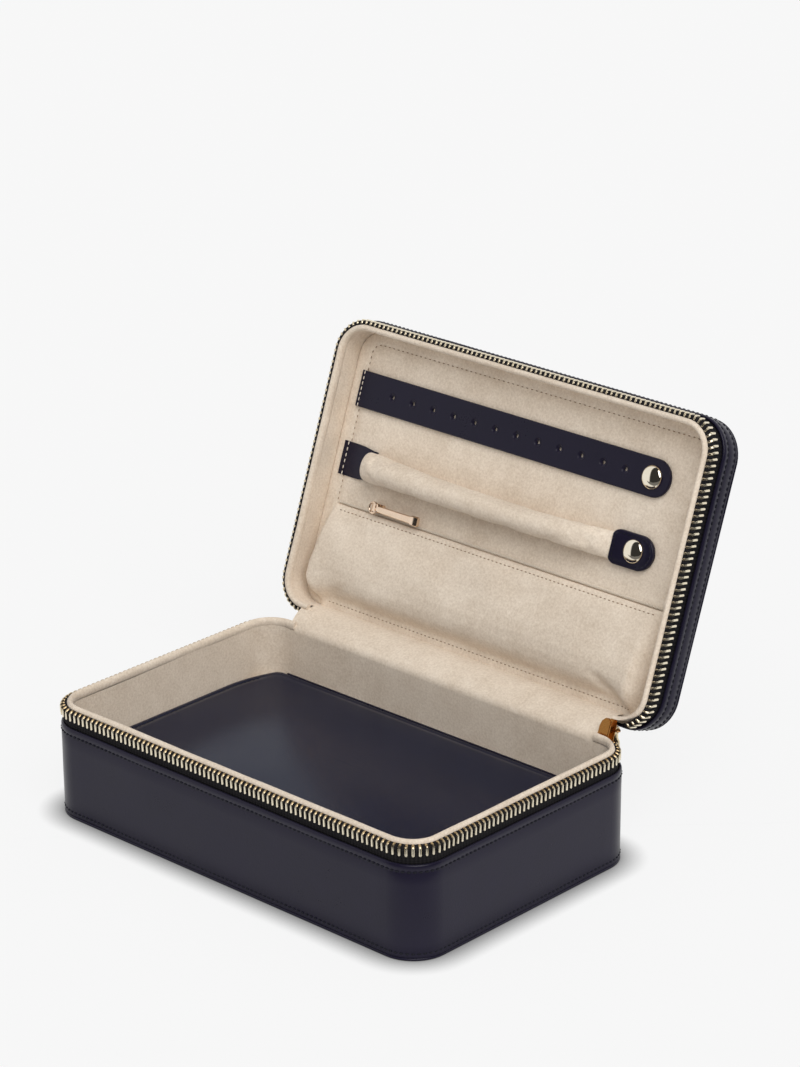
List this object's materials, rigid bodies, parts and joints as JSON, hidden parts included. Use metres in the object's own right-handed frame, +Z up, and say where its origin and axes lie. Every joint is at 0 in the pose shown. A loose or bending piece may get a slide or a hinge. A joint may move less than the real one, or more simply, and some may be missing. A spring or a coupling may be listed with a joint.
{
  "type": "jewellery case",
  "caption": "Zip-around leather jewellery case with a hinged lid, suede lining, floor flap, earring strap, ring roll and zip pocket.",
  "frame": {"origin": "middle of the base's underside", "axes": "+X along the case, to the right seen from the front; +Y towards the hinge at the back; +Z up"},
  "size_m": [0.222, 0.2093, 0.1852],
  "materials": {
    "navy_leather": "smooth satin",
    "cream_suede": "suede",
    "padding": "suede over padding",
    "board": "board",
    "zip_tape": "woven",
    "gold_metal": "polished"
  },
  "bodies": {
    "base": {"base_bottom_leather": "navy_leather", "base_wall_leather": "navy_leather", "base_board": "board", "base_floor_lining": "cream_suede", "base_lining": "cream_suede", "base_back_lining": "cream_suede", "floor_collar": "cream_suede", "flap_hinge_strip": "navy_leather", "base_zip_tape": "zip_tape", "base_zip_teeth": "gold_metal", "base_zip_stop": "gold_metal", "leather_spine": "navy_leather", "hinge_web": "cream_suede"},
    "floor_flap": {"flap_leather_top": "navy_leather", "flap_core_board": "board", "flap_suede_back": "cream_suede"},
    "lid": {"lid_top_leather": "navy_leather", "lid_wall_leather": "navy_leather", "lid_board": "board", "lid_lining": "cream_suede", "lid_panel": "padding", "lid_zip_tape": "zip_tape", "lid_zip_teeth": "gold_metal", "lid_zip_stop": "gold_metal", "strap_stud": "gold_metal", "roll_stud": "gold_metal", "pocket_pouch": "padding", "pocket_zip_tape": "cream_suede", "pocket_zip_coil": "cream_suede"},
    "strap": {"earring_strap": "navy_leather", "strap_snap_cap": "gold_metal"},
    "roll": {"ring_roll": "padding", "roll_sewn_end": "navy_leather", "roll_snap_tab": "navy_leather", "roll_snap_cap": "gold_metal"},
    "pocket_zip": {"pocket_slider": "gold_metal"},
    "pocket_zip_tab": {"pocket_pull": "gold_metal"},
    "main_zip": {"zip_slider": "gold_metal"},
    "main_zip_tab": {"zip_pull": "gold_metal"}
  },
  "joints": [
    {"name": "lid_hinge", "type": "hinge", "parent": "base", "child": "lid", "pos_m": [0, 0.072, 0.052], "axis": [-1, 0, 0], "range_deg": [-110, 10], "deforming": ["leather_spine", "hinge_web"]},
    {"name": "flap_hinge", "type": "hinge", "parent": "base", "child": "floor_flap", "pos_m": [0, 0.0634, 0.027], "axis": [-1, 0, 0], "range_deg": [0, 70]},
    {"name": "strap_fold", "type": "hinge", "parent": "lid", "child": "strap", "pos_m": [-0.099, 0.12016, 0.151], "axis": [0, -0.342, -0.9397], "range_deg": [0, 70]},
    {"name": "roll_fold", "type": "hinge", "parent": "lid", "child": "roll", "pos_m": [-0.101, 0.10912, 0.11979], "axis": [0, -0.342, -0.9397], "range_deg": [0, 70]},
    {"name": "pocket_zip_slide", "type": "slide", "parent": "lid", "child": "pocket_zip", "axis": [1, 0, 0], "range_m": [0, 0.14]},
    {"name": "pocket_pull_swing", "type": "hinge", "parent": "pocket_zip", "child": "pocket_zip_tab", "pos_m": [-0.071, 0.09838, 0.10519], "axis": [0, -0.342, -0.9397], "range_deg": [0, 120]},
    {"name": "main_slider_rock", "type": "hinge", "parent": "base", "child": "main_zip", "pos_m": [0, 0.0755, 0.048], "axis": [-1, 0, 0], "range_deg": [-20, 2]},
    {"name": "main_pull_swing", "type": "hinge", "parent": "main_zip", "child": "main_zip_tab", "pos_m": [0.0933, 0.07508, 0.05241], "axis": [1, 0, 0], "range_deg": [0, 40]}
  ],
  "couplings": [
    {"joint": "main_slider_rock", "follows": "lid_hinge", "ratio": 0.18182}
  ]
}
